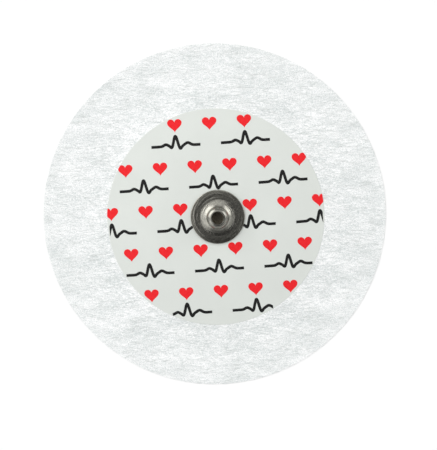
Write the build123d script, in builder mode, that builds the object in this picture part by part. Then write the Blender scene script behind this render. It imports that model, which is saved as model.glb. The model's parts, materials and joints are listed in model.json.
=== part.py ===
from build123d import *
from math import acos, atan2, cos, degrees, radians, sin, tan
import os

# A round, single-use ECG electrode. A soft tape disc carries a printed label, and a drawn metal snap stud
# takes the lead wire. Below the tape a coated eyelet holds the stud, and a gel pad meets the skin.
# Sizes are in millimetres and angles in degrees. The skin is z = 0 and +Z runs up the stud's axis.

# Gel pad
gel_diameter = 20.0
gel_thickness = 1.0
gel_bevel = 0.3

# Tape disc, laid over the gel pad and down to the skin around it
tape_diameter = 60.0
tape_thickness = 0.18
drape_run = 14.0

# Label disc, stuck on the tape
label_diameter = 38.1
label_thickness = 0.12

# Both discs are die-cut a little off the stud's axis, as on the sample, from blanks that are larger all round
tape_centre = (-0.52, 0.36)
label_centre = (-0.33, -0.08)
blank_margin = 2.0

# Snap stud: one cap drawn from sheet metal, with a bent-down rim, a hollow skirt, a neck and a pierced bulb
sheet = 0.25
flange_diameter = 9.5
bulb_diameter = 3.95
rim_angle = 8.0
rim_width = 0.74
skirt_angle = 36.0
skirt_radius = 3.1
neck_radius = 0.3
flare_angle = 55.0
flare_length = 0.42
bulb_land = 0.3
shoulder_radius = 1.05
tip_hole_diameter = 2.2

# Sensor eyelet: a flange under the tape and a barbed stem that snaps up into the stud
eyelet_diameter = 10.0
eyelet_thickness = 0.4
stem_clearance = 0.02
pierce_clearance = 0.05
barb_depth = 0.15
barb_rise = 0.2
barb_lead = 0.2
barb_clearance = 0.1

# The drape falls straight from the gel's edge, and each height above it turns the corners on their mitre
gel_radius = gel_diameter / 2
drape_mitre = tan(atan2(gel_thickness, drape_run) / 2)

# The stud's radii and slopes, the mitres of its two creases, and the turn from the bulb's side to the tip's hole
flange_radius = flange_diameter / 2
bulb_radius = bulb_diameter / 2
rim_sin, rim_cos = sin(radians(rim_angle)), cos(radians(rim_angle))
skirt_sin, skirt_cos = sin(radians(skirt_angle)), cos(radians(skirt_angle))
flare_sin, flare_cos = sin(radians(flare_angle)), cos(radians(flare_angle))
rim_mitre = tan(radians(rim_angle / 2))
flare_mitre = tan(radians(45 - flare_angle / 2))
shoulder_turn = degrees(acos(1 - (bulb_radius - tip_hole_diameter / 2) / shoulder_radius))

# The flange's flat ring is what the rim, the skirt and the bulb leave of the flange's radius
bulb_overhang = neck_radius * (skirt_sin - flare_sin) + flare_length * flare_cos
flange_flat = flange_radius - rim_width - skirt_radius * skirt_sin + bulb_overhang - bulb_radius

# Heights on the stud's axis
stud_base = gel_thickness + tape_thickness + label_thickness
flange_top = stud_base + sheet * rim_cos + rim_width * rim_sin / rim_cos
skirt_top = flange_top + skirt_radius * (1 - skirt_cos)
land_base = skirt_top + neck_radius * (skirt_cos + flare_cos) + flare_length * flare_sin
shoulder_base = land_base + bulb_land

# The stem passes the stud's neck, and its barb spreads in the bulb above
neck_inside = bulb_radius - bulb_overhang - neck_radius * (1 - skirt_sin) - sheet
stem_radius = neck_inside - stem_clearance
pierced_radius = stem_radius + pierce_clearance
barb_radius = stem_radius + barb_depth
stem_top = shoulder_base - barb_clearance
barb_peak = stem_top - barb_lead
barb_root = barb_peak - barb_rise


def draped_path(height, reach):
    """Draw the drape's line at a height above the tape's underside, and return its two ends."""
    mitre = height * drape_mitre
    drape = Polyline(
        (pierced_radius, gel_thickness + height),
        (gel_radius + mitre, gel_thickness + height),
        (gel_radius + drape_run + mitre, height),
        (reach, height),
    )
    return drape @ 0, drape @ 1


def draped_disc(low, high, diameter, centre):
    """Make a disc between two heights above the tape's underside, die-cut about its own centre."""
    reach = tape_diameter / 2 + abs(tape_centre[0]) + abs(tape_centre[1]) + blank_margin
    with BuildPart() as disc:
        with BuildSketch(Plane.XZ):
            with BuildLine():
                low_start, low_end = draped_path(low, reach)
                high_start, high_end = draped_path(high, reach)
                Line(low_start, high_start)
                Line(low_end, high_end)
            make_face()
        revolve(axis=Axis.Z)
        with BuildSketch():
            with Locations(centre):
                Circle(diameter / 2)
        extrude(amount=stud_base + blank_margin, mode=Mode.INTERSECT)
    return disc


def stud_path(depth):
    """Draw the stud's line from rim to tip at a depth below its outside, and return its two ends."""
    start = (flange_radius - depth * rim_sin, stud_base + (sheet - depth) * rim_cos)
    rim = PolarLine(start, rim_width / rim_cos - depth * rim_mitre, 180 - rim_angle)
    flat = Line(rim @ 1, rim @ 1 - (flange_flat - depth * rim_mitre, 0))
    skirt = JernArc(flat @ 1, (-1, 0), skirt_radius + depth, -skirt_angle)
    neck = JernArc(skirt @ 1, skirt % 1, neck_radius + depth, flare_angle + skirt_angle - 180)
    flare = PolarLine(neck @ 1, flare_length - depth * flare_mitre, flare_angle)
    land = Line(flare @ 1, flare @ 1 + (0, bulb_land - depth * flare_mitre))
    shoulder = JernArc(land @ 1, (0, 1), shoulder_radius - depth, shoulder_turn)
    return rim @ 0, shoulder @ 1


# Tape disc and label disc
tape_backing = draped_disc(0, tape_thickness, tape_diameter, tape_centre)
label_disc = draped_disc(tape_thickness, tape_thickness + label_thickness, label_diameter, label_centre)

# Snap stud: its section is the sheet between the outside line and the same line one sheet deeper
with BuildPart() as snap_stud:
    with BuildSketch(Plane.XZ):
        with BuildLine():
            outer_rim, outer_tip = stud_path(0)
            inner_rim, inner_tip = stud_path(sheet)
            Line(outer_rim, inner_rim)
            Line(outer_tip, inner_tip)
        make_face()
    revolve(axis=Axis.Z)

# Sensor eyelet
with BuildPart() as sensor_eyelet:
    with BuildSketch(Plane.XZ):
        with BuildLine():
            Polyline(
                (0, gel_thickness - eyelet_thickness),
                (eyelet_diameter / 2, gel_thickness - eyelet_thickness),
                (eyelet_diameter / 2, gel_thickness),
                (stem_radius, gel_thickness),
                (stem_radius, barb_root),
                (barb_radius, barb_peak),
                (stem_radius, stem_top),
                (0, stem_top),
                close=True,
            )
        make_face()
    revolve(axis=Axis.Z)

# Gel pad, cast around the eyelet's flange
with BuildPart() as gel_pad:
    Cylinder(gel_radius, gel_thickness, align=(Align.CENTER, Align.CENTER, Align.MIN))
    chamfer(gel_pad.edges().group_by(Axis.Z)[0], gel_bevel)
    add(sensor_eyelet.part, mode=Mode.SUBTRACT)

tape_backing.part.label = "tape_backing"
label_disc.part.label = "label_disc"
snap_stud.part.label = "snap_stud"
sensor_eyelet.part.label = "sensor_eyelet"
gel_pad.part.label = "gel_pad"

os.makedirs("parts", exist_ok=True)
export_step(tape_backing.part, "parts/tape_backing.step")
export_step(label_disc.part, "parts/label_disc.step")
export_step(snap_stud.part, "parts/snap_stud.step")
export_step(sensor_eyelet.part, "parts/sensor_eyelet.step")
export_step(gel_pad.part, "parts/gel_pad.step")
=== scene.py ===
# %% [markdown]
# # A disposable ECG electrode
# The imported CAD model is the frame for everything here. It comes in at its real size, in metres, with the
# skin at z = 0 and +Z up the stud's axis. Reading sizes from it, and not typing them again, keeps each
# new surface on its solid.

# %% Load the frame
import json
import bpy
import numpy as np
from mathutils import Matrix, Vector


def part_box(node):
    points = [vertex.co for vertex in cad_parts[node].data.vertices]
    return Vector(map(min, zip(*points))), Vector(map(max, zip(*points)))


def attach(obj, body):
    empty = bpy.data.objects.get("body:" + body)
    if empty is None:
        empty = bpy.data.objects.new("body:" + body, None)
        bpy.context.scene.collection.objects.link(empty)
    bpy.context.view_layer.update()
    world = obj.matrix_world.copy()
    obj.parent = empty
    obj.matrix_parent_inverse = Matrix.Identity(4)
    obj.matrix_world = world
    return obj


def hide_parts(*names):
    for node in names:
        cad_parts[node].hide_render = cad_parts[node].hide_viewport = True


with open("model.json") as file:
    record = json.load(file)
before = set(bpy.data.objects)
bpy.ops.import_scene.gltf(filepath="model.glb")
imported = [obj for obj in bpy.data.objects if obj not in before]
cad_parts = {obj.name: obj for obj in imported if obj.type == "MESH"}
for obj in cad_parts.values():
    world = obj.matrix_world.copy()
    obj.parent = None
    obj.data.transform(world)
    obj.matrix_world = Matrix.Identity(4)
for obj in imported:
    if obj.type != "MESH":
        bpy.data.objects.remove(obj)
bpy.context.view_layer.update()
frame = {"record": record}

# %% [markdown]
# Lengths are easier to read in millimetres, so one value turns them into metres. The gel, the two discs
# and the stud all show in their boxes: a disc's middle is its centre and its width is its diameter. The
# tops of the layers, taken from below upwards, give each layer's thickness. The stud's mount gives the
# radius of the bulb that a lead grips, and the length of its straight land.

# %% Sizes from the frame
MM = 0.001


def node_size(node):
    """Return a node's centre across, half its width and its two heights, all in millimetres."""
    low, high = (np.array(corner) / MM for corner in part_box(node))
    return (low + high)[:2] / 2, (high - low)[0] / 2, low[2], high[2]


tape_centre, tape_radius, _, tape_top = node_size("tape_backing")
label_centre, label_radius, _, label_top = node_size("label_disc")
_, gel_radius, _, gel_top = node_size("gel_pad")
_, flange_radius, stud_base, stud_top = node_size("snap_stud")
_, eyelet_radius, eyelet_base, stem_top = node_size("sensor_eyelet")
snap_post = next(mount for mount in frame["record"]["mounts"] if mount["name"] == "snap_post")
bulb_radius = snap_post["dims"]["r_mm"]
land_length = snap_post["dims"]["length_mm"]
tape_thickness = tape_top - gel_top
label_thickness = label_top - tape_top
print(f"tape {2 * tape_radius:.1f} mm, label {2 * label_radius:.1f} mm, flange {2 * flange_radius:.1f} mm")

# %% [markdown]
# ## How the layers lie
# The gel pad lifts the middle of the tape, and the tape falls from the gel's edge to the skin around it.
# A cloth simulation could find that fall, but a disc on a low pad lies so plainly that a formula is
# surer: straight, with two soft bends. The difference of two softplus curves draws it, one that starts to
# fall at the gel's edge and one that stops at the foot. The same formula carries the tape, the label and
# the print, so each lies on the one below it everywhere.

# %% The drape
drape_run = 14.0
bend_softness = 1.2


def drape_height(x, y):
    """Height of the tape's underside: gel top times (softplus to the foot less that to the edge) / run."""
    reach = np.hypot(x, y)
    foot = np.logaddexp(0, (gel_radius + drape_run - reach) / bend_softness)
    edge = np.logaddexp(0, (gel_radius - reach) / bend_softness)
    return gel_top * bend_softness * (foot - edge) / drape_run


print(f"drape at the label's edge: {drape_height(label_radius, 0.0):.2f} mm")

# %% [markdown]
# Non-woven tape is a web of short fibres that mostly run one way. A bump in the material could hint at
# them, but a bump leaves the mesh itself bare, so the relief goes into the mesh. It is smooth noise that
# is stretched along the fibres: random heights on a coarse lattice, read between the lattice points with
# an S-shaped blend. Two streak layers cross at a small angle, and a wide one gives the uneven look of the
# web. Real fibres are near 0.02 mm thick, so the streaks are drawn as coarser bundles that show.

# %% Fibre relief
fibre_length = 0.75
fibre_width = 0.32
relief_depth = 0.045
cloud_size = 5.0
lattice_size = 256
streak_share, cloud_share = 0.4, 0.2
streak_turns_and_seeds = ((4.0, 1), (-5.0, 2))
cloud_seed = 3


def smooth_noise(x, y, seed):
    """Blend seeded random heights on a unit lattice with weights 3t^2 - 2t^3, giving values from 0 to 1."""
    lattice = np.random.default_rng(seed).random((lattice_size, lattice_size))
    column, row = np.floor(x).astype(int), np.floor(y).astype(int)
    u, v = x - column, y - row
    u, v = u * u * (3 - 2 * u), v * v * (3 - 2 * v)
    left, right = column % lattice_size, (column + 1) % lattice_size
    low, high = row % lattice_size, (row + 1) % lattice_size
    below = lattice[low, left] * (1 - u) + lattice[low, right] * u
    above = lattice[high, left] * (1 - u) + lattice[high, right] * u
    return below * (1 - v) + above * v


def fibre_relief(x, y):
    """Sum of two streak layers turned a few degrees either way and one cloud layer, from 0 to 1."""
    total = np.zeros_like(x)
    for turn, seed in streak_turns_and_seeds:
        along = x * np.cos(np.radians(turn)) + y * np.sin(np.radians(turn))
        across = y * np.cos(np.radians(turn)) - x * np.sin(np.radians(turn))
        total += streak_share * smooth_noise(along / fibre_length, across / fibre_width, seed)
    return total + cloud_share * smooth_noise(x / cloud_size, y / cloud_size, cloud_seed)


print(f"relief: {relief_depth} mm deep, streaks {fibre_length} by {fibre_width} mm")

# %% [markdown]
# ## From arrays to meshes
# Every piece here is a closed skin that is worked out as whole arrays, with no loop over its points. One
# helper turns such a skin into an object. A skin may come inside out, so the helper adds up its volume
# and turns the faces round where the sum is negative. It also marks the edges that are sharper than a
# given angle as creases. A ring skin is a grid whose rows and columns both join up, like the skin of a
# doughnut, which fits every pierced disc.

# %% Mesh helpers


def add_piece(name, points, faces, smooth_angle=40.0):
    """Add a mesh from points in millimetres, with outward faces and creases above an angle in degrees."""
    fans = [[0, corner, corner + 1] for corner in range(1, faces.shape[1] - 1)]
    triangles = points[np.concatenate([faces[:, fan] for fan in fans])]
    volume = np.einsum("ij,ij->", triangles[:, 0], np.cross(triangles[:, 1], triangles[:, 2]))
    if volume < 0:
        faces = faces[:, ::-1]
    mesh = bpy.data.meshes.new(name)
    mesh.from_pydata((points * MM).tolist(), [], faces.tolist())
    mesh.validate()
    mesh.shade_smooth()
    mesh.set_sharp_from_angle(angle=np.radians(smooth_angle))
    piece = bpy.data.objects.new(name, mesh)
    bpy.context.scene.collection.objects.link(piece)
    print(f"{name}: {len(mesh.vertices)} points, {len(mesh.loops) - 2 * len(mesh.polygons)} triangles")
    return piece


def ring_skin(grid):
    """Points and faces of a skin whose rows and columns both close, from a (rows, columns, 3) grid."""
    rows, columns = grid.shape[:2]
    row, column = np.meshgrid(np.arange(rows), np.arange(columns), indexing="ij")
    next_row, next_column = (row + 1) % rows, (column + 1) % columns
    faces = np.stack(
        [row * columns + column, row * columns + next_column,
         next_row * columns + next_column, next_row * columns + column], axis=-1)
    return grid.reshape(-1, 3), faces.reshape(-1, 4)


print("a ring skin of 4 rows and 5 columns has", len(ring_skin(np.zeros((4, 5, 3)))[1]), "faces")

# %% [markdown]
# ## Tape
# The tape is one die-cut disc, pierced in the middle for the stud. A disc with a Solidify modifier would
# be quick, but a grid of our own puts its points where they are needed. Columns go round the disc, and a
# loop of rows goes out along the top, down the cut edge and back along the underside. Each column runs
# straight from the pierced hole to the cut circle, so the off-centre cut needs no special case. Rows are
# close together only where the tape shows and a little way under the label. The relief fades out towards
# the label, and the die has pressed the web thin along its cut: a bell curve of the distance gives a
# margin that is level at the cut itself.

# %% Tape face
edge_press, press_reach = 0.75, 3.0
relief_fade = 0.6


def inside_cut(x, y, centre, radius):
    """Distance in from a cut circle: its radius less the distance from its centre, negative outside it."""
    return radius - np.hypot(x - centre[0], y - centre[1])


def pressed_share(to_cut, press, reach):
    """Share of the thickness that the die leaves: one less a bell curve of the distance to the cut."""
    return 1 - press * np.exp(-(np.maximum(to_cut, 0) / reach) ** 2)


def tape_face(x, y):
    """Height of the tape's face: drape plus thickness less relief, pressed down towards the cut edge."""
    shown = np.clip(-inside_cut(x, y, label_centre, label_radius) / relief_fade, 0, 1)
    thickness = tape_thickness + relief_depth * (fibre_relief(x, y) - 1) * shown
    to_cut = inside_cut(x, y, tape_centre, tape_radius)
    return drape_height(x, y) + thickness * pressed_share(to_cut, edge_press, press_reach)


print(f"tape at its cut edge: {tape_thickness * pressed_share(0.0, edge_press, press_reach):.3f} mm thick")

# %% Tape disc
columns = 720
pierced_radius = 1.46
hidden_rows, shown_rows, under_rows = 14, 82, 18
label_overlap = 0.8
edge_waver = 0.035
waver_per_radian, waver_power, waver_seed = 60, 20, 4

angle = np.linspace(0, 2 * np.pi, columns, endpoint=False)
circle = np.stack([np.cos(angle), np.sin(angle)], axis=-1)


def disc_loop(shares, centre, radius, hole):
    """Plan points on straight columns: (1 - share) of the hole's circle plus share of the cut circle."""
    cut = np.asarray(centre) + radius * circle
    return (1 - shares[:, None, None]) * hole * circle + shares[:, None, None] * cut


shown_from = (label_radius - label_overlap) / tape_radius
top_shares = np.concatenate(
    [np.linspace(0, shown_from, hidden_rows, endpoint=False), np.linspace(shown_from, 1, shown_rows)])
shares = np.concatenate([top_shares, np.linspace(1, 0, under_rows)])
on_top = np.arange(len(shares)) < len(top_shares)

# A cut through fibres is never a clean circle. The power keeps the waver to the rows next to the cut.
waver = edge_waver * (smooth_noise(angle * waver_per_radian, angle * 0, waver_seed)[:, None] - 0.5)
plan = disc_loop(shares, tape_centre, tape_radius, pierced_radius)
plan += shares[:, None, None] ** waver_power * waver * circle
x, y = plan[..., 0], plan[..., 1]
height = np.where(on_top[:, None], tape_face(x, y), drape_height(x, y))
tape = add_piece("tape", *ring_skin(np.dstack([x, y, height])))
adhesive = tape.data.attributes.new("adhesive", "FLOAT", "POINT")
adhesive.data.foreach_set("value", np.repeat(np.where(on_top, 0.0, 1.0), columns).astype(np.float32))

# %% [markdown]
# The eye takes the tape for cloth because single fibres and small bundles lie on its face. A hair system
# could grow them, but they have to end up as plain meshes with few faces, so they are made as such. First
# come their lines, all in one array and from a seeded generator. The die cuts fibres along with the tape,
# and the label covers others, so a strand ends where its line meets either circle. Real fibres are near
# 0.02 mm thick; these are drawn as coarser bundles so that they show.

# %% Strand lines
strand_seed = 11
strand_tries = 7300
strand_radius = (0.02, 0.046)
strand_length = (0.4, 1.9)
strand_spread = 13.0
strand_bow = 0.12
shortest_strand = 0.3
cut_margin, label_margin = 0.05, 0.1


def crossings(x, y, heading, centre, radius):
    """Lengths along lines to a circle: minus b, less or plus the root of b^2 - c, and NaN for a miss."""
    out_x, out_y = x - centre[0], y - centre[1]
    b = out_x * np.cos(heading) + out_y * np.sin(heading)
    c = out_x ** 2 + out_y ** 2 - radius ** 2
    root = np.sqrt(np.where(b ** 2 > c, b ** 2 - c, np.nan))
    return -b - root, -b + root


draw = np.random.default_rng(strand_seed)
one_each = (strand_tries, 1)
reach = (tape_radius - 2 * cut_margin) * np.sqrt(draw.random(one_each))
bearing = draw.random(one_each) * 2 * np.pi
heading = np.radians(strand_spread) * draw.standard_normal(one_each)
half = draw.uniform(*strand_length, one_each) / 2
bow = draw.normal(0, strand_bow, one_each)
radius = draw.uniform(*strand_radius, one_each)
middle_x = tape_centre[0] + reach * np.cos(bearing)
middle_y = tape_centre[1] + reach * np.sin(bearing)
back, front = crossings(middle_x, middle_y, heading, tape_centre, tape_radius - cut_margin)
near, far = crossings(middle_x, middle_y, heading, label_centre, label_radius + label_margin)
start = np.fmax(np.fmax(-half, back), np.where(far < 0, far, -half))
end = np.fmin(np.fmin(half, front), np.where(near > 0, near, half))
long_enough = end - start > shortest_strand
print(f"{long_enough.sum()} of {strand_tries} strands are long enough")

# %% [markdown]
# Each line is bent into a shallow parabola and becomes a thin four-sided tube, seated in the face below
# it. Its rings are closer together near the ends, where it thins out. A tube skin takes all the tubes at
# once, as rows of four-cornered rings with flat ends. Strands under the label, and the few that cross a
# circle once bent, are dropped.

# %% Strands as tubes
strand_rings = 6
strand_seat = 0.3
end_thinning, end_power = 0.7, 12
tube_corners = np.radians([45, 135, 225, 315])


def tube_skin(rings):
    """Points and faces of closed four-sided tubes, from a (tubes, rings, 4, 3) array of their corners."""
    tubes, count = rings.shape[:2]
    tube, ring, side = np.meshgrid(np.arange(tubes), np.arange(count - 1), np.arange(4), indexing="ij")
    first, second = (tube * count + ring) * 4, (tube * count + ring + 1) * 4
    turn = (side + 1) % 4
    walls = np.stack([first + side, first + turn, second + turn, second + side], axis=-1).reshape(-1, 4)
    start = np.arange(tubes)[:, None] * count * 4
    caps = np.concatenate([start + np.array([3, 2, 1, 0]), start + (count - 1) * 4 + np.arange(4)])
    return rings.reshape(-1, 3), np.concatenate([walls, caps])


step = np.sin(np.pi / 2 * np.linspace(-1, 1, strand_rings))
along = (start + end + (end - start) * step) / 2
across = bow * ((along / half) ** 2 - 0.5) * half
strand_x = middle_x + along * np.cos(heading) - across * np.sin(heading)
strand_y = middle_y + along * np.sin(heading) + across * np.cos(heading)
on_tape = inside_cut(strand_x, strand_y, tape_centre, tape_radius) > cut_margin / 2
off_label = inside_cut(strand_x, strand_y, label_centre, label_radius) < -label_margin / 2
kept = (on_tape & off_label & long_enough).all(axis=1)
strand_x, strand_y, radius, heading = strand_x[kept], strand_y[kept], radius[kept], heading[kept]

seat = tape_face(strand_x, strand_y) + strand_seat * radius
taper = radius * (1 - end_thinning * step ** end_power)
sideways = taper[..., None] * np.cos(tube_corners)
strands = np.stack(
    [strand_x[..., None] - np.sin(heading)[..., None] * sideways,
     strand_y[..., None] + np.cos(heading)[..., None] * sideways,
     seat[..., None] + taper[..., None] * np.sin(tube_corners)], axis=-1)
tape_fibres = add_piece("tape_fibres", *tube_skin(strands), smooth_angle=100.0)

# %% [markdown]
# ## Label
# The label is a disc of printed film on the tape. It could be a copy of the tape's disc at another size,
# but its face is smooth, so the same loop is made with half the columns and no relief. Its cut edge has a
# small bevel, and the die has pressed it thin there too.

# %% Label disc
label_rows = 150
edge_bevel = 0.03
edge_low_level = 0.2
label_press, label_reach = 0.7, 2.5


def film_height(x, y, level):
    """Height at a level of the film: tape's top plus level times thickness, pressed thin at the cut."""
    to_cut = inside_cut(x, y, label_centre, label_radius)
    thickness = label_thickness * level * pressed_share(to_cut, label_press, label_reach)
    return drape_height(x, y) + tape_thickness + thickness


label_shares = np.concatenate(
    [np.linspace(0, 1 - edge_bevel / label_radius, label_rows), [1.0, 1.0], np.linspace(1, 0, under_rows)])
label_level = np.concatenate(
    [np.ones(label_rows), [1 - edge_bevel / label_thickness, edge_low_level], np.zeros(under_rows)])
plan = disc_loop(label_shares, label_centre, label_radius, pierced_radius)[:, ::2]
x, y = plan[..., 0], plan[..., 1]
height = film_height(x, y, label_level[:, None])
label = add_piece("label", *ring_skin(np.dstack([x, y, height])))

# %% [markdown]
# ## Print
# The film is printed in rows before it is cut, so the cut runs through the print. The motifs are plain
# ones for a heart monitor: rows of red hearts and rows of black pulse waves, in turn. An image could
# carry them, but it would blur in a close view, so they are thin films of ink that follow the label. They
# are planned flat, in coordinates along and across the rows, and then turned a little and laid on the
# label.

# %% Print rows
print_turn = np.radians(4.0)
row_pitch = 3.7
places_each_way = 6
ink_height, ink_sink = 0.012, 0.03


def place_print(u, v):
    """Turn print coordinates into plan coordinates about the label's centre."""
    x = label_centre[0] + u * np.cos(print_turn) - v * np.sin(print_turn)
    y = label_centre[1] + u * np.sin(print_turn) + v * np.cos(print_turn)
    return x, y


def on_label(x, y, lift):
    """Stack plan points with the label's top and a lift above it."""
    return np.stack(np.broadcast_arrays(x, y, film_height(x, y, 1.0) + lift), axis=-1)


def row_places(pitch, first_row, first_place):
    """Places on every second row, with each next one of those rows moved half a pitch along."""
    count = np.arange(-places_each_way, places_each_way + 1)
    row, place = np.meshgrid(count, count)
    u = (place + first_place + 0.5 * (row % 2)) * pitch
    v = (2 * row + first_row) * row_pitch
    return u.ravel(), v.ravel()


print(f"print rows: {row_pitch} mm apart, turned {np.degrees(print_turn):.0f} degrees")

# %% [markdown]
# A heart is a known closed curve. Cutting it with a Boolean where it leaves the label would be slow to
# get clean, so each heart is filled from its middle by spokes, and a spoke that would pass the label's
# circle stops there. A capped skin closes many alike shapes at once: it runs from one end point over
# rings to another, like a globe.

# %% Capped skin


def capped_skin(rings, ends):
    """Points and triangles of closed skins, from (skins, rows, columns, 3) rings and (skins, 2, 3) ends."""
    skins, rows, columns = rings.shape[:3]
    row, column = np.meshgrid(np.arange(rows - 1), np.arange(columns), indexing="ij")
    here, beside = row * columns + column, row * columns + (column + 1) % columns
    walls = np.stack([here, beside, beside + columns, here, beside + columns, here + columns], axis=-1)
    edge, turn = np.arange(columns), (np.arange(columns) + 1) % columns
    last = (rows - 1) * columns
    first_fan = np.stack([np.full(columns, last + columns), turn, edge], axis=-1)
    last_fan = np.stack([np.full(columns, last + columns + 1), last + edge, last + turn], axis=-1)
    faces = np.concatenate([walls.reshape(-1, 3), first_fan, last_fan])
    points = np.concatenate([rings.reshape(skins, -1, 3), ends], axis=1)
    faces = faces + np.arange(skins)[:, None, None] * points.shape[1]
    return points.reshape(-1, 3), faces.reshape(-1, 3)


globe = capped_skin(np.zeros((1, 3, 6, 3)), np.zeros((1, 2, 3)))
print("a capped skin of 3 rings with 6 points each has", len(globe[1]), "triangles")

# %% Red hearts
heart_pitch = 6.1
heart_width = 2.55
heart_spokes = 48
heart_margin = 0.3
flange_cover = 1.0


def heart_curve(t):
    """A unit-wide heart: 16 sin^3 t across, 13 cos t - 5 cos 2t - 2 cos 3t - cos 4t up, both over 32."""
    up = 13 * np.cos(t) - 5 * np.cos(2 * t) - 2 * np.cos(3 * t) - np.cos(4 * t)
    return 16 * np.sin(t) ** 3 / 32, up / 32


heart_u, heart_v = row_places(heart_pitch, first_row=0.5, first_place=0.0)
on_film = np.hypot(heart_u, heart_v) < label_radius - heart_margin
in_sight = np.hypot(*place_print(heart_u, heart_v)) > flange_radius - flange_cover
heart_u, heart_v = heart_u[on_film & in_sight, None], heart_v[on_film & in_sight, None]
unit_u, unit_v = heart_curve(np.linspace(0, 2 * np.pi, heart_spokes, endpoint=False))
rim_u, rim_v = heart_width * unit_u, heart_width * unit_v

# Along a spoke, the circle is met where a quadratic in the spoke's share is zero.
outward = heart_u * rim_u + heart_v * rim_v
rim_square = rim_u ** 2 + rim_v ** 2
room = label_radius ** 2 - heart_u ** 2 - heart_v ** 2
to_cut = (np.sqrt(outward ** 2 + rim_square * room) - outward) / rim_square
spoke = np.minimum(1.0, to_cut)[:, None, :]
# Four rings carry the skin from its upper middle to its lower one: half way, rim, rim, half way.
ring_share = np.array([0.5, 1.0, 1.0, 0.5])[:, None]
lift = np.array([ink_height, ink_height, -ink_sink, -ink_sink])[:, None]
reach_u = heart_u[..., None] + ring_share * spoke * rim_u
reach_v = heart_v[..., None] + ring_share * spoke * rim_v
rings = on_label(*place_print(reach_u, reach_v), lift)
middles = on_label(*place_print(heart_u, heart_v), np.array([ink_height, -ink_sink]))
print_hearts = add_piece("print_hearts", *capped_skin(rings, middles))

# %% [markdown]
# A pulse wave is a sum of five bell curves. A bevelled curve would draw it, but it would be round and
# pinch in the tight bends, so it is drawn with a round pen. At each place the stroke reaches from the
# lowest to the highest point that the pen's disc covers there. A wave that meets the cut stops just short
# of it.

# %% Black pulse waves
wave_pitch = 12.2
wave_half = 4.3
wave_rings = 200
wave_tries, fewest_on_film = 600, 40
wave_margin = 0.25
stroke = 0.5
pen_steps = 25
# The rise of each bell, its middle and its spread, in millimetres.
bells = (
    (0.32, -1.75, 0.34), (-0.35, -0.72, 0.2), (1.7, 0.0, 0.3), (-0.55, 0.75, 0.24), (0.45, 2.1, 0.42))


def pulse(s):
    """Sum of bell curves: rise times e to the power of minus half the squared distance in spreads."""
    return sum(rise * np.exp(-((s - middle) / spread) ** 2 / 2) for rise, middle, spread in bells)


wave_u, wave_v = row_places(wave_pitch, first_row=-0.5, first_place=0.5)
tries = np.linspace(-wave_half, wave_half, wave_tries)
on_film = np.hypot(wave_u[:, None] + tries, wave_v[:, None] + pulse(tries)) < label_radius - wave_margin
some = on_film.sum(axis=1) > fewest_on_film
printed = np.where(on_film, tries, np.nan)[some]
starts, ends = np.nanmin(printed, axis=1), np.nanmax(printed, axis=1)
s = starts[:, None] + (ends - starts)[:, None] * np.linspace(0, 1, wave_rings)
pen_u = stroke / 2 * np.linspace(-1, 1, pen_steps)
pen_v = np.sqrt((stroke / 2) ** 2 - pen_u ** 2)
under_pen = pulse(s[..., None] + pen_u)
upper, lower = (under_pen + pen_v).max(axis=-1), (under_pen - pen_v).min(axis=-1)
reach_u = np.repeat((wave_u[some, None] + s)[..., None], 4, axis=2)
reach_v = wave_v[some, None, None] + np.stack([lower, upper, upper, lower], axis=-1)
lift = np.array([-ink_sink, -ink_sink, ink_height, ink_height])
print_waves = add_piece("print_waves", *tube_skin(on_label(*place_print(reach_u, reach_v), lift)))

# %% [markdown]
# ## Snap stud
# The stud is one cap drawn from sheet steel, so its section is a line with a constant thickness. A filled
# outline could be turned, but the sheet's two faces have to stay one sheet apart round every bend. So the
# line is drawn as a turtle would walk it: straight steps and turns of a given radius. From rim to tip it
# has a sloping rim, a flat ring, a concave skirt, a neck, a flare, the straight land of the bulb and a
# shoulder.

# %% Stud sizes
sheet = 0.25
rim_angle, rim_width, rim_bend = 8.0, 0.74, 1.6
skirt_angle, skirt_radius = 36.0, 3.1
neck_radius, flare_angle, flare_length, flare_bend = 0.3, 55.0, 0.42, 0.34
shoulder_radius, tip_hole_radius = 1.05, 1.1
edge_rounding = 0.05
arc_step = 2.5

rim_tangent = rim_bend * np.tan(np.radians(rim_angle / 2))
rim_inset = sheet / 2 * np.tan(np.radians(45 - rim_angle / 2))
flare_tangent = flare_bend * np.tan(np.radians(45 - flare_angle / 2))
shoulder_cut = (bulb_radius - tip_hole_radius - edge_rounding) / shoulder_radius
shoulder_turn = np.degrees(np.arccos(1 - shoulder_cut))
overhang = neck_radius * (np.sin(np.radians(skirt_angle)) - np.sin(np.radians(flare_angle)))
overhang += flare_length * np.cos(np.radians(flare_angle))
skirt_width = skirt_radius * np.sin(np.radians(skirt_angle))
flat = flange_radius - rim_width - skirt_width + overhang - bulb_radius
print(f"flat ring {flat:.2f} mm, skirt {skirt_width:.2f} mm, shoulder turn {shoulder_turn:.0f} degrees")

# %% Walked lines


def walk(place, heading, moves):
    """Walk a line from a place: each move is a length and a turn in degrees, spread evenly along it."""
    places = [np.array(place)]
    for length, turn in moves:
        count = max(2, int(np.ceil(abs(turn) / arc_step)))
        middle = np.radians(heading + turn * (np.arange(count) + 0.5) / count)
        half_turn = np.radians(turn / count) / 2
        chord = length / count * (np.sin(half_turn) / half_turn if turn else 1.0)
        steps = chord * np.stack([np.cos(middle), np.sin(middle)], axis=-1)
        places.extend(places[-1] + np.cumsum(steps, axis=0))
        heading += turn
    return np.array(places), heading


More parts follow.
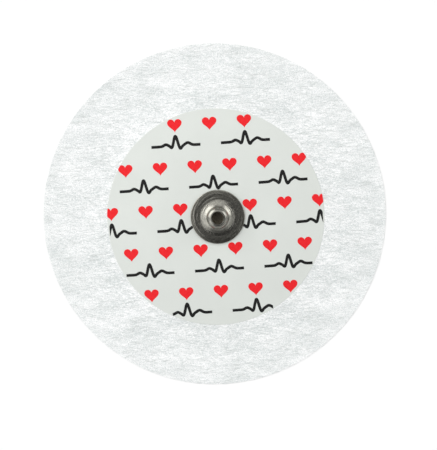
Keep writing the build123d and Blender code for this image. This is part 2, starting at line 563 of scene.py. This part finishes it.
def stud_moves(depth):
    """Moves from rim to tip at a depth below the outside: lines keep their length, arcs change radius."""
    bends = (
        (rim_bend - depth, rim_angle), (skirt_radius + depth, -skirt_angle),
        (neck_radius + depth, flare_angle + skirt_angle - 180), (flare_bend - depth, 90 - flare_angle),
        (shoulder_radius - depth, shoulder_turn))
    rim, skirt, neck, flare, shoulder = ((bend * np.radians(abs(turn)), turn) for bend, turn in bends)
    slope = rim_width / np.cos(np.radians(rim_angle)) - rim_tangent - rim_inset
    return [
        (slope, 0.0), rim, (flat - rim_tangent, 0.0), skirt, neck,
        (flare_length - flare_tangent, 0.0), flare, (land_length - flare_tangent, 0.0), shoulder]


print(f"stud: {len(stud_moves(0.0))} moves from rim to tip")

# %% [markdown]
# Walking the line a second time, with each radius changed by the sheet's thickness, gives the inside. A
# half circle closes the rim, and the edge of the punched tip is a straight cut with two small rounds.
# Blender's Spin tool could turn the closed section, but it leaves a seam to merge. Carried round the axis
# as one grid, the section joins up with itself.

# %% Stud section
rim_normal = np.array([np.sin(np.radians(rim_angle)), np.cos(np.radians(rim_angle))])
rim_start = np.array([flange_radius, stud_base + sheet * rim_normal[1]])
rim_start += rim_inset * np.array([-rim_normal[1], rim_normal[0]])
outside_line, tip_heading = walk(rim_start, 180 - rim_angle, stud_moves(0.0))
inside_line, _ = walk(rim_start - sheet * rim_normal, 180 - rim_angle, stud_moves(sheet))
edge_arc = (np.pi / 2 * edge_rounding, 90.0)
tip_cut = [edge_arc, (sheet - 2 * edge_rounding, 0.0), edge_arc]
tip_edge, _ = walk(outside_line[-1], tip_heading, tip_cut)
rim_edge, _ = walk(inside_line[0], 360 - rim_angle, [(np.pi * sheet / 2, 180.0)])
section = np.concatenate([outside_line, tip_edge[1:-1], inside_line[::-1], rim_edge[1:-1]])
print(f"section: {len(section)} points, top {section[:, 1].max():.3f} mm, frame says {stud_top:.3f} mm")

# %% Stud by one turn of its section
turn_columns = 256
turn_angle = np.linspace(0, 2 * np.pi, turn_columns, endpoint=False)


def turned(profile):
    """Carry a profile of radius and height round the Z axis."""
    return np.stack(
        [profile[:, :1] * np.cos(turn_angle), profile[:, :1] * np.sin(turn_angle),
         np.repeat(profile[:, 1:], turn_columns, axis=1)], axis=-1)


stud = add_piece("stud", *ring_skin(turned(section)))

# %% [markdown]
# ## Eyelet and gel pad
# Below the tape, a moulded eyelet with a silver chloride coat holds the stud. Its stem's end shows as the
# dark bottom of the tip's hole, so it gets a dimple there, as a moulding pin leaves one. The gel pad is
# cast round the eyelet's flange, so its section steps over it, and its side bulges a little, as a soft
# thing does. Cylinders could be joined for both, but each is one profile turned once, so it is closed
# from the start, with an end point on the axis below and another above.

# %% Eyelet
eyelet_round = 0.08
stem_radius = 1.41
barb_depth, barb_rise, barb_lead = 0.15, 0.2, 0.2
dimple_depth = 0.3
dimple_mouth, dimple_floor = 0.55 * stem_radius, 0.45 * stem_radius


def turned_skin(profile, low, high):
    """Points and faces of a profile carried round the axis, closed at a low and a high point on it."""
    return capped_skin(turned(np.array(profile))[None], np.array([[(0, 0, low), (0, 0, high)]]))


eyelet_profile = [
    (eyelet_radius / 2, eyelet_base), (eyelet_radius - eyelet_round, eyelet_base),
    (eyelet_radius, eyelet_base + eyelet_round), (eyelet_radius, gel_top), (stem_radius, gel_top),
    (stem_radius, stem_top - barb_lead - barb_rise), (stem_radius + barb_depth, stem_top - barb_lead),
    (stem_radius, stem_top), (dimple_mouth, stem_top), (dimple_floor, stem_top - dimple_depth)]
eyelet_skin = turned_skin(eyelet_profile, eyelet_base, stem_top - dimple_depth)
eyelet = add_piece("eyelet", *eyelet_skin, smooth_angle=30.0)

# %% Gel pad
gel_rows = 16
gel_bulge = 0.1
gel_bevel, bevel_power = 0.3, 4

side = np.linspace(0, 1, gel_rows)
bulge = gel_bulge * (1 - np.sin(np.pi * side))
side_radius = gel_radius - bulge - gel_bevel * (1 - side) ** bevel_power
gel_profile = np.concatenate([
    [(gel_radius / 3, 0.0), (gel_radius * 2 / 3, 0.0)], np.stack([side_radius, gel_top * side], axis=-1),
    [(eyelet_radius, gel_top), (eyelet_radius, eyelet_base), (eyelet_radius / 2, eyelet_base)]])
gel = add_piece("gel", *turned_skin(gel_profile, 0.0, eyelet_base), smooth_angle=60.0)

# %% [markdown]
# ## Finishes
# A colour is easiest to pick as the sRGB hex value that a screen shows, but Blender's sockets want linear
# light, so one function does the change. A second one adds a node, sets its properties and inputs, and
# links what is given as a socket, so that a whole material reads as one short list. Patterns read the
# Object coordinates, which are metres here, so a pattern's scale is one over its real size.

# %% Colour and node helpers


def linear(hex_colour):
    """Turn an sRGB hex colour into linear red, green, blue and alpha: the screen's power curve, undone."""
    srgb = np.array([int(hex_colour[i:i + 2], 16) for i in (1, 3, 5)]) / 255
    light = np.where(srgb <= 0.04045, srgb / 12.92, ((srgb + 0.055) / 1.055) ** 2.4)
    return (*light.tolist(), 1.0)


def add_node(tree, kind, settings=None, **inputs):
    """Add a node, set its properties, and give each named or numbered input a value or a link."""
    node = tree.nodes.new(kind)
    for key, value in (settings or {}).items():
        setattr(node, key, value)
    for key, value in inputs.items():
        numbered = key[0] == "i" and key[1:].isdigit()
        socket = node.inputs[int(key[1:]) if numbered else key.replace("_", " ")]
        if isinstance(value, bpy.types.NodeSocket):
            tree.links.new(value, socket)
        else:
            socket.default_value = value
    return node


def new_material(name):
    """Make an empty node material, and return it with its node tree and its Object coordinates."""
    material = bpy.data.materials.new(name)
    material.use_nodes = True
    material.node_tree.nodes.clear()
    coordinates = add_node(material.node_tree, "ShaderNodeTexCoord").outputs["Object"]
    return material, material.node_tree, coordinates


def finish_material(piece, material, shader):
    """Link a shader to the material's output and give the material to the piece."""
    tree = material.node_tree
    add_node(tree, "ShaderNodeOutputMaterial", Surface=shader.outputs[0])
    piece.data.materials.append(material)
    print(f"{piece.name} is {material.name}, {len(tree.nodes)} nodes")


print("middle grey in linear light:", np.round(linear("#808080"), 3))

# %% [markdown]
# The tape is white spunlaced polyester: matt, a little fuzzy, brighter where fibres bunch and greyer in
# the thin places between. One noise could not be both fine and cloudy, so three are added up, each
# stretched along the fibres: short streaks, long streaks and soft clouds. The streaks are wider than real
# fibres, so that they show. Below, the acrylic adhesive is smooth and faintly warm, and the web shows
# through it.

# %% Tape finish
# Each layer's turn in degrees, then its length and width in millimetres.
web_layers = ((3.0, 0.24, 0.11), (-4.0, 0.95, 0.13), (0.0, 6.0, 2.4))
short_weight, cloud_weight = 2.0, 0.75
web_thin, web_thick = 1.51, 2.19


def spunlace_polyester(piece):
    """Matt fibre web: streaks along X from noise stretched to a bundle's length and width, over clouds."""
    material, tree, place = new_material("spunlace_polyester")
    layers = []
    for turn, length, width in web_layers:
        stretched = add_node(
            tree, "ShaderNodeMapping", {"vector_type": "POINT"}, Vector=place,
            Rotation=(0, 0, np.radians(turn)), Scale=(1 / (length * MM), 1 / (width * MM), 1 / MM))
        noise = add_node(
            tree, "ShaderNodeTexNoise", Vector=stretched.outputs[0], Scale=1.0, Detail=2.0, Roughness=0.55)
        layers.append(noise.outputs[0])
    short, long, clouds = layers
    streaks = add_node(
        tree, "ShaderNodeMath", {"operation": "MULTIPLY_ADD"}, i0=short, i1=short_weight, i2=long)
    web = add_node(
        tree, "ShaderNodeMath", {"operation": "MULTIPLY_ADD"}, i0=clouds, i1=cloud_weight,
        i2=streaks.outputs[0])
    tone = add_node(
        tree, "ShaderNodeMapRange", Value=web.outputs[0], From_Min=web_thin, From_Max=web_thick)
    fibre = add_node(
        tree, "ShaderNodeMix", {"data_type": "RGBA"}, Factor=tone.outputs[0],
        i6=linear("#ced4d3"), i7=linear("#ffffff"))
    glue = add_node(
        tree, "ShaderNodeMix", {"data_type": "RGBA"}, Factor=tone.outputs[0],
        i6=linear("#d3d0c4"), i7=linear("#f0eee7"))
    under = add_node(tree, "ShaderNodeAttribute", {"attribute_name": "adhesive"}).outputs["Fac"]
    colour = add_node(
        tree, "ShaderNodeMix", {"data_type": "RGBA"}, Factor=under, i6=fibre.outputs[2], i7=glue.outputs[2])
    rough = add_node(tree, "ShaderNodeMapRange", Value=under, To_Min=0.9, To_Max=0.35)
    bump = add_node(tree, "ShaderNodeBump", Height=streaks.outputs[0], Strength=0.35, Distance=0.05 * MM)
    shader = add_node(
        tree, "ShaderNodeBsdfPrincipled", Base_Color=colour.outputs[2], Roughness=rough.outputs[0],
        Normal=bump.outputs[0], Specular_IOR_Level=0.04)
    finish_material(piece, material, shader)


spunlace_polyester(tape)

# %% [markdown]
# The loose strands are the same polyester, but each one is a bundle of its own, so a noise about as long
# as a strand gives them soft changes of tone. They could share the tape's finish, but its streaks are too
# fine for a thin tube and would make it flicker.

# %% Strand finish
strand_tone_size = 1.2


def loose_polyester(piece):
    """Bundles of fibre: the same white, with a soft change of tone from one strand to the next."""
    material, tree, place = new_material("loose_polyester")
    grain = add_node(
        tree, "ShaderNodeTexNoise", Vector=place, Scale=1 / (strand_tone_size * MM), Detail=1.0)
    colour = add_node(
        tree, "ShaderNodeMix", {"data_type": "RGBA"}, Factor=grain.outputs[0],
        i6=linear("#d6dbd9"), i7=linear("#f3f5f4"))
    shader = add_node(
        tree, "ShaderNodeBsdfPrincipled", Base_Color=colour.outputs[2], Roughness=0.8,
        Specular_IOR_Level=0.04)
    finish_material(piece, material, shader)


loose_polyester(tape_fibres)

# %% [markdown]
# The label is satin polyethylene film: one pale grey-green with a trace of mottle, and a soft gloss with
# the grain of the rollers that pressed it. That grain is finer than a pixel on the real film and is drawn
# coarser. The inks are thin, so a little of the film's grain shows as spots in their tone. A plain colour
# would do from afar, but it would look like plastic sheet in a close view.

# %% Label and ink finishes
mottle_size, roller_grain = 6.0, 0.5
ink_spot = 0.35


def satin_film(piece):
    """Smooth film: a faint mottle a few millimetres wide, and a roller grain in the gloss."""
    material, tree, place = new_material("satin_polyethylene_film")
    mottle = add_node(tree, "ShaderNodeTexNoise", Vector=place, Scale=1 / (mottle_size * MM), Detail=3.0)
    grain = add_node(tree, "ShaderNodeTexNoise", Vector=place, Scale=1 / (roller_grain * MM), Detail=2.0)
    colour = add_node(
        tree, "ShaderNodeMix", {"data_type": "RGBA"}, Factor=mottle.outputs[0],
        i6=linear("#d4d8d3"), i7=linear("#dce0db"))
    rough = add_node(tree, "ShaderNodeMapRange", Value=grain.outputs[0], To_Min=0.38, To_Max=0.52)
    bump = add_node(tree, "ShaderNodeBump", Height=grain.outputs[0], Strength=0.08, Distance=0.02 * MM)
    shader = add_node(
        tree, "ShaderNodeBsdfPrincipled", Base_Color=colour.outputs[2], Roughness=rough.outputs[0],
        Normal=bump.outputs[0])
    finish_material(piece, material, shader)


def flexo_ink(piece, name, thin, full):
    """Printing ink: a dense colour that thins out a little in spots."""
    material, tree, place = new_material(name)
    spots = add_node(tree, "ShaderNodeTexNoise", Vector=place, Scale=1 / (ink_spot * MM), Detail=2.0)
    colour = add_node(
        tree, "ShaderNodeMix", {"data_type": "RGBA"}, Factor=spots.outputs[0],
        i6=linear(thin), i7=linear(full))
    shader = add_node(
        tree, "ShaderNodeBsdfPrincipled", Base_Color=colour.outputs[2], Roughness=0.5,
        Specular_IOR_Level=0.2)
    finish_material(piece, material, shader)


satin_film(label)
flexo_ink(print_hearts, "red_flexo_ink", "#ee2f35", "#e2161d")
flexo_ink(print_waves, "black_flexo_ink", "#232323", "#101010")

# %% [markdown]
# The stud is drawn stainless steel that was tumbled with its like. The bulb is the smoothest. Its colour
# is painted darker, as shade round the bulb and its neck, and the skirt and flange are painted a little
# lighter. The flange took the knocks and is duller.
# Vertex colours could mark these zones, but the distance from the axis tells them apart by itself. Noise
# that changes fast with that distance and slowly along X and Y gives arcs of tool marks, and small dents
# break the gloss. Both are drawn coarser than on the real stud, so that they show.

# %% Steel finish
dent_size = 0.3
mark_width, mark_length = 0.4, 3.0
mark_weight = 2.4
relief_height = 0.03
bulb_blend = 0.15
rim_zone = 1.0


def tumbled_steel(piece):
    """Drawn steel: duller to the rim, painted shade on the bulb, arcs of tool marks and small dents."""
    material, tree, place = new_material("tumbled_stainless_steel")
    flat_place = add_node(tree, "ShaderNodeVectorMath", {"operation": "MULTIPLY"}, i0=place, i1=(1, 1, 0))
    length = add_node(tree, "ShaderNodeVectorMath", {"operation": "LENGTH"}, i0=flat_place.outputs[0])
    away = length.outputs["Value"]
    dents = add_node(
        tree, "ShaderNodeTexNoise", Vector=place, Scale=1 / (dent_size * MM), Detail=3.0, Roughness=0.65)
    polish = add_node(
        tree, "ShaderNodeMapRange", Value=away, From_Min=bulb_radius * MM,
        From_Max=(flange_radius - rim_zone) * MM, To_Min=0.14, To_Max=0.19)
    wear = add_node(
        tree, "ShaderNodeMapRange", Value=dents.outputs[0], From_Min=0.3, From_Max=0.7,
        To_Min=-0.05, To_Max=0.05)
    rough = add_node(tree, "ShaderNodeMath", {"operation": "ADD"}, i0=polish.outputs[0], i1=wear.outputs[0])
    plan_place = add_node(tree, "ShaderNodeSeparateXYZ", Vector=place)
    ring_place = add_node(
        tree, "ShaderNodeCombineXYZ", X=away, Y=plan_place.outputs["X"], Z=plan_place.outputs["Y"])
    arcs = add_node(
        tree, "ShaderNodeMapping", {"vector_type": "POINT"}, Vector=ring_place.outputs[0],
        Scale=(1 / (mark_width * MM), 1 / (mark_length * MM), 1 / (mark_length * MM)))
    marks = add_node(tree, "ShaderNodeTexNoise", Vector=arcs.outputs[0], Scale=1.0, Detail=2.0)
    relief = add_node(
        tree, "ShaderNodeMath", {"operation": "MULTIPLY_ADD"}, i0=marks.outputs[0], i1=mark_weight,
        i2=dents.outputs[0])
    bump = add_node(
        tree, "ShaderNodeBump", Height=relief.outputs[0], Strength=1.0, Distance=relief_height * MM)
    colour = add_node(
        tree, "ShaderNodeMix", {"data_type": "RGBA"}, Factor=dents.outputs[0],
        i6=linear("#75736b"), i7=linear("#aaa9a1"))
    # Painted shade: the bulb's colour is scaled darker, and the skirt's and flange's a little lighter.
    painted_bulb_shade = add_node(
        tree, "ShaderNodeMapRange", Value=away, From_Min=bulb_radius * MM,
        From_Max=(bulb_radius + bulb_blend) * MM, To_Min=0.82, To_Max=1.06)
    steel = add_node(
        tree, "ShaderNodeVectorMath", {"operation": "SCALE"}, i0=colour.outputs[2], Scale=painted_bulb_shade.outputs[0])
    shader = add_node(
        tree, "ShaderNodeBsdfPrincipled", Base_Color=steel.outputs[0], Metallic=1.0,
        Roughness=rough.outputs[0], Normal=bump.outputs[0])
    finish_material(piece, material, shader)


tumbled_steel(stud)

# %% [markdown]
# The eyelet's coat is silver with silver chloride on it, which is charcoal grey with a fine grain. It
# could be a metal, but the chloride dulls it so far that it is not one to the eye. The gel is mostly
# water: wet, pale and a little cloudy. Light passes into it, so it gets both transmission and some
# scattering, with an IOR close to water's.

# %% Coat and gel finishes
coat_grain = 0.2
haze_size = 2.5


def silver_chloride(piece):
    """Dark sintered coat on the moulded eyelet: charcoal with a fine grain."""
    material, tree, place = new_material("silver_chloride_coat")
    grain = add_node(tree, "ShaderNodeTexNoise", Vector=place, Scale=1 / (coat_grain * MM), Detail=3.0)
    colour = add_node(
        tree, "ShaderNodeMix", {"data_type": "RGBA"}, Factor=grain.outputs[0],
        i6=linear("#38332a"), i7=linear("#706856"))
    bump = add_node(tree, "ShaderNodeBump", Height=grain.outputs[0], Strength=0.3, Distance=0.02 * MM)
    shader = add_node(
        tree, "ShaderNodeBsdfPrincipled", Base_Color=colour.outputs[2], Roughness=0.55,
        Normal=bump.outputs[0])
    finish_material(piece, material, shader)


def wet_hydrogel(piece):
    """Solid conductive gel: pale, wet and a little cloudy, with light passing into it."""
    material, tree, place = new_material("wet_hydrogel")
    haze = add_node(tree, "ShaderNodeTexNoise", Vector=place, Scale=1 / (haze_size * MM), Detail=3.0)
    colour = add_node(
        tree, "ShaderNodeMix", {"data_type": "RGBA"}, Factor=haze.outputs[0],
        i6=linear("#c9d6d3"), i7=linear("#e4ece9"))
    bump = add_node(tree, "ShaderNodeBump", Height=haze.outputs[0], Strength=0.2, Distance=0.1 * MM)
    shader = add_node(
        tree, "ShaderNodeBsdfPrincipled", Base_Color=colour.outputs[2], Roughness=0.12, IOR=1.36,
        Transmission_Weight=0.5, Subsurface_Weight=0.5, Subsurface_Scale=1.2 * MM, Normal=bump.outputs[0])
    finish_material(piece, material, shader)


silver_chloride(eyelet)
wet_hydrogel(gel)

# %% [markdown]
# ## Stage, light and camera
# The product lies on white studio paper, so a wide, matt, pale floor is put just under the tape. It could
# curve up into a backdrop, but a floor this wide fills the low views as well.

# %% Floor
floor_size = 4000.0
floor_gap = 0.02
paper_tooth = 0.8

corners = floor_size / 2 * np.array([(-1, -1), (1, -1), (1, 1), (-1, 1)])
floor_mesh = bpy.data.meshes.new("floor")
floor_mesh.from_pydata([(x * MM, y * MM, -floor_gap * MM) for x, y in corners], [], [(0, 1, 2, 3)])
floor = bpy.data.objects.new("floor", floor_mesh)
bpy.context.scene.collection.objects.link(floor)


def white_paper(piece):
    """Seamless studio paper: near white, matt, with a trace of tooth."""
    material, tree, place = new_material("white_paper")
    tooth = add_node(tree, "ShaderNodeTexNoise", Vector=place, Scale=1 / (paper_tooth * MM), Detail=2.0)
    bump = add_node(tree, "ShaderNodeBump", Height=tooth.outputs[0], Strength=0.02, Distance=0.05 * MM)
    shader = add_node(
        tree, "ShaderNodeBsdfPrincipled", Base_Color=linear("#f9f9f9"), Roughness=0.95,
        Normal=bump.outputs[0], Specular_IOR_Level=0.1)
    finish_material(piece, material, shader)


white_paper(floor)

# %% [markdown]
# Area lamps would light the floor more on one side than on the other, so the studio is painted on the
# world itself: light from far away falls on the whole floor evenly. Two bright soft boxes stand up and to
# either side, weaker ones fill in around them, and a dim dome is darkest overhead, where the camera is.
# The steel shows that dark patch on its flat ring. A soft box is a round patch of sky: the cosine of the
# angle from its middle, blended from dark to bright over its soft edge. The boxes began as a separate
# program's fit to the shades on the stud, and were then rounded and changed by hand between renders.

# %% Studio world
dome_overhead, dome_level = 0.05, 0.6
dome_low, dome_high = 0.2, 0.95
# Azimuth from +X, elevation, half angle and softness, all in degrees, and then strength.
soft_boxes = (
    (147.0, 23.0, 24.0, 14.0, 3.08),  # key, upper left
    (30.0, 30.0, 16.0, 10.0, 2.95),  # second key, upper right
    (204.0, 43.0, 19.0, 14.0, 1.12),  # fill, left
    (80.0, 50.0, 19.0, 10.0, 0.82),  # fill, top
    (340.0, 37.0, 26.0, 9.0, 0.5),  # weak fill, right
    (222.0, 18.0, 18.0, 6.0, 0.9),  # low light, lower left
    (141.0, 42.0, 29.0, 9.0, 0.46),  # spread around the key
    (125.0, 68.0, 24.0, 20.0, 0.2),  # soft glow above the key
)

world = bpy.data.worlds.new("studio")
world.use_nodes = True
bpy.context.scene.world = world
sky = world.node_tree
sky.nodes.clear()
direction = add_node(sky, "ShaderNodeTexCoord").outputs["Generated"]
up = add_node(sky, "ShaderNodeSeparateXYZ", Vector=direction).outputs["Z"]
dome = add_node(
    sky, "ShaderNodeMapRange", {"interpolation_type": "SMOOTHSTEP"}, Value=up,
    From_Min=dome_low, From_Max=dome_high, To_Min=dome_level, To_Max=dome_overhead)
light = dome.outputs[0]
for azimuth, elevation, half_angle, softness, strength in soft_boxes:
    a, e = np.radians(azimuth), np.radians(elevation)
    towards = (np.cos(a) * np.cos(e), np.sin(a) * np.cos(e), np.sin(e))
    facing = add_node(sky, "ShaderNodeVectorMath", {"operation": "DOT_PRODUCT"}, i0=direction, i1=towards)
    box = add_node(
        sky, "ShaderNodeMapRange", {"interpolation_type": "SMOOTHSTEP"}, Value=facing.outputs["Value"],
        From_Min=np.cos(np.radians(half_angle + softness)),
        From_Max=np.cos(np.radians(half_angle - softness)), To_Min=0.0, To_Max=strength)
    light = add_node(sky, "ShaderNodeMath", {"operation": "ADD"}, i0=light, i1=box.outputs[0]).outputs[0]
background = add_node(sky, "ShaderNodeBackground", Color=(1, 1, 1, 1), Strength=light)
add_node(sky, "ShaderNodeOutputWorld", Surface=background.outputs[0])
print("studio:", len(soft_boxes), "soft boxes")

# %% [markdown]
# The photograph looks almost straight down, leaning a few degrees from the top side, as the stud's tip
# stands a little below its flange there. The frame is 437 by 450 pixels and the tape is 342 pixels wide,
# which fixes how many millimetres the picture takes in. The camera could be moved by eye until it fits.
# Worked out from those pixels, it fits at once. The three circles agree best for a camera far away, so it
# stands far off.

# %% Camera
image_width, image_height = 437, 450
tape_pixels = 342.4
stud_pixel = (217.2, 216.3)
camera_lean = 5.2
camera_distance = 1500.0
aim_height = 0.3
sensor = 36.0

pixel = 2 * tape_radius / tape_pixels
middle = np.array([image_width - 1, image_height - 1]) / 2
aim = np.array(
    [(middle[0] - stud_pixel[0]) * pixel, (stud_pixel[1] - middle[1]) * pixel, stud_base + aim_height])
lean = np.radians(camera_lean)
camera = bpy.data.objects.new("camera", bpy.data.cameras.new("camera"))
bpy.context.scene.collection.objects.link(camera)
camera.data.sensor_fit = "VERTICAL"
camera.data.sensor_height = sensor
camera.data.lens = sensor * camera_distance / (image_height * pixel)
camera.location = (aim + camera_distance * np.array([0, np.sin(lean), np.cos(lean)])) * MM
camera.rotation_euler = (-lean, 0, 0)
bpy.context.scene.camera = camera
bpy.context.scene.view_settings.view_transform = "Standard"
print(f"lens {camera.data.lens:.1f} mm, {1 / pixel:.3f} pixels per millimetre")

# %% [markdown]
# ## Pieces on the body
# Each piece rides on the one body, and the CAD model's own solids are hidden.

# %% Pieces and their solids
for piece, slot in ((tape, "tape"), (tape_fibres, "tape"), (label, "label"), (print_hearts, "label"),
                    (print_waves, "label"), (stud, "stud"), (eyelet, "eyelet"), (gel, "gel")):
    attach(piece, "root")
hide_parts("tape_backing")
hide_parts("label_disc")
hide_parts("snap_stud")
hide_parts("sensor_eyelet")
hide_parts("gel_pad")
